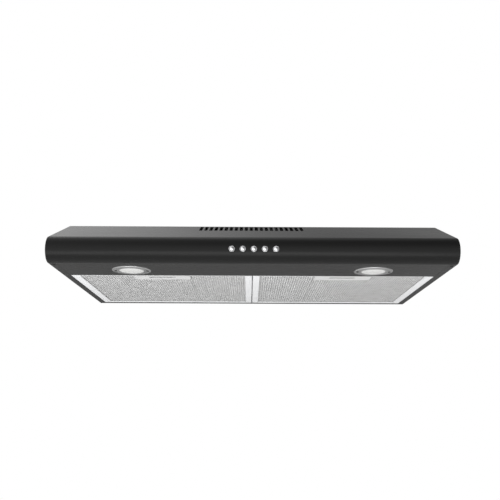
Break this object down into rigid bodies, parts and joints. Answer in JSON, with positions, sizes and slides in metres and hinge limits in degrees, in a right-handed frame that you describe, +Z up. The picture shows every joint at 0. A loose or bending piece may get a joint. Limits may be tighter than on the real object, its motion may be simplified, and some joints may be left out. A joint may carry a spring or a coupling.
{
  "type": "under cabinet range hood",
  "caption": "Slim under cabinet range hood with a half-round fascia, sloping vented deck, push buttons, round lamps and hinged mesh grease filters.",
  "frame": {"origin": "centre of the four cabinet screw holes, on the flat top that meets the cabinet", "axes": "+X to the right seen from the front, +Y to the wall, +Z up into the cabinet"},
  "size_m": [0.75, 0.4997, 0.1324],
  "materials": {
    "body_steel": "satin grey finish over steel",
    "fascia_steel": "semi-gloss dark grey finish over steel",
    "galvanised_steel": "galvanised",
    "screw_steel": "zinc plated",
    "bezel_metal": "satin",
    "frosted_lens": "frosted",
    "heat_sink": "die-cast",
    "black_plastic": "moulded",
    "button_chrome": "polished",
    "spring_steel": "drawn wire",
    "filter_aluminium": "bright",
    "mesh_aluminium": "expanded foil",
    "latch_steel": "pressed",
    "guard_wire": "zinc plated wire",
    "motor_can": "drawn can",
    "rubber": "moulded",
    "white_plastic": "moulded"
  },
  "bodies": {
    "housing": {"deck_panel": "body_steel", "top_panel": "body_steel", "duct_plate": "body_steel", "rear_panel": "body_steel", "lamp_panel": "body_steel", "side_panel_left": "body_steel", "side_panel_right": "body_steel", "front_fascia": "fascia_steel", "filter_support_rail": "galvanised_steel", "fan_scroll": "galvanised_steel", "fan_inlet_plate": "galvanised_steel", "terminal_box": "galvanised_steel", "terminal_cover": "galvanised_steel", "underside_screws": "screw_steel", "collar_screws": "screw_steel", "fan_screws": "screw_steel", "damper_pin": "screw_steel", "lamp_bezel_left": "bezel_metal", "lamp_bezel_right": "bezel_metal", "lamp_lens_left": "frosted_lens", "lamp_lens_right": "frosted_lens", "lamp_body_left": "heat_sink", "lamp_body_right": "heat_sink", "switch_block": "black_plastic", "duct_collar": "black_plastic", "terminal_block": "black_plastic", "button_rings": "button_chrome", "button_spring_off": "spring_steel", "button_spring_low": "spring_steel", "button_spring_medium": "spring_steel", "button_spring_high": "spring_steel", "button_spring_light": "spring_steel", "inlet_guard": "guard_wire", "motor": "motor_can", "capacitor": "motor_can", "motor_mounts": "rubber", "cable_grommet": "rubber", "lamp_driver": "white_plastic"},
    "fan_rotor": {"impeller": "black_plastic", "motor_shaft": "screw_steel", "impeller_nut": "screw_steel"},
    "damper_front": {"damper_flap_front": "black_plastic"},
    "damper_rear": {"damper_flap_rear": "black_plastic"},
    "button_off": {"button_off": "button_chrome"},
    "button_low": {"button_low": "button_chrome"},
    "button_medium": {"button_medium": "button_chrome"},
    "button_high": {"button_high": "button_chrome"},
    "button_light": {"button_light": "button_chrome"},
    "filter_left": {"filter_frame_left": "filter_aluminium", "filter_mesh_front_left": "mesh_aluminium", "filter_mesh_inner_left": "mesh_aluminium", "latch_housing_left": "filter_aluminium", "latch_springs_left": "spring_steel"},
    "latch_left": {"latch_slider_left": "latch_steel"},
    "filter_right": {"filter_frame_right": "filter_aluminium", "filter_mesh_front_right": "mesh_aluminium", "filter_mesh_inner_right": "mesh_aluminium", "latch_housing_right": "filter_aluminium", "latch_springs_right": "spring_steel"},
    "latch_right": {"latch_slider_right": "latch_steel"}
  },
  "joints": [
    {"name": "fan_spin", "type": "hinge", "parent": "housing", "child": "fan_rotor", "pos_m": [-0.15, 0.02, -0.03], "axis": [0, 0, 1], "continuous": true},
    {"name": "damper_front_hinge", "type": "hinge", "parent": "housing", "child": "damper_front", "pos_m": [0, 0.08, 0.004], "axis": [-1, 0, 0], "range_deg": [0, 75]},
    {"name": "damper_rear_hinge", "type": "hinge", "parent": "housing", "child": "damper_rear", "pos_m": [0, 0.08, 0.004], "axis": [1, 0, 0], "range_deg": [0, 75]},
    {"name": "button_off_press", "type": "slide", "parent": "housing", "child": "button_off", "axis": [0, 1, 0], "range_m": [0, 0.003], "stiffness_N_per_m": 300, "springref_m": -0.003, "deforming": ["button_spring_off"]},
    {"name": "button_low_press", "type": "slide", "parent": "housing", "child": "button_low", "axis": [0, 1, 0], "range_m": [0, 0.003], "stiffness_N_per_m": 300, "springref_m": -0.003, "deforming": ["button_spring_low"]},
    {"name": "button_medium_press", "type": "slide", "parent": "housing", "child": "button_medium", "axis": [0, 1, 0], "range_m": [0, 0.003], "stiffness_N_per_m": 300, "springref_m": -0.003, "deforming": ["button_spring_medium"]},
    {"name": "button_high_press", "type": "slide", "parent": "housing", "child": "button_high", "axis": [0, 1, 0], "range_m": [0, 0.003], "stiffness_N_per_m": 300, "springref_m": -0.003, "deforming": ["button_spring_high"]},
    {"name": "button_light_press", "type": "slide", "parent": "housing", "child": "button_light", "axis": [0, 1, 0], "range_m": [0, 0.003], "stiffness_N_per_m": 300, "springref_m": -0.003, "deforming": ["button_spring_light"]},
    {"name": "filter_left_hinge", "type": "hinge", "parent": "housing", "child": "filter_left", "pos_m": [-0.1812, 0.16, -0.105], "axis": [1, 0, 0], "range_deg": [0, 40]},
    {"name": "latch_left_slide", "type": "slide", "parent": "filter_left", "child": "latch_left", "axis": [0, 1, 0], "range_m": [0, 0.006], "stiffness_N_per_m": 400, "springref_m": -0.004, "deforming": ["latch_springs_left"]},
    {"name": "filter_right_hinge", "type": "hinge", "parent": "housing", "child": "filter_right", "pos_m": [0.1812, 0.16, -0.105], "axis": [1, 0, 0], "range_deg": [0, 40]},
    {"name": "latch_right_slide", "type": "slide", "parent": "filter_right", "child": "latch_right", "axis": [0, 1, 0], "range_m": [0, 0.006], "stiffness_N_per_m": 400, "springref_m": -0.004, "deforming": ["latch_springs_right"]}
  ]
}
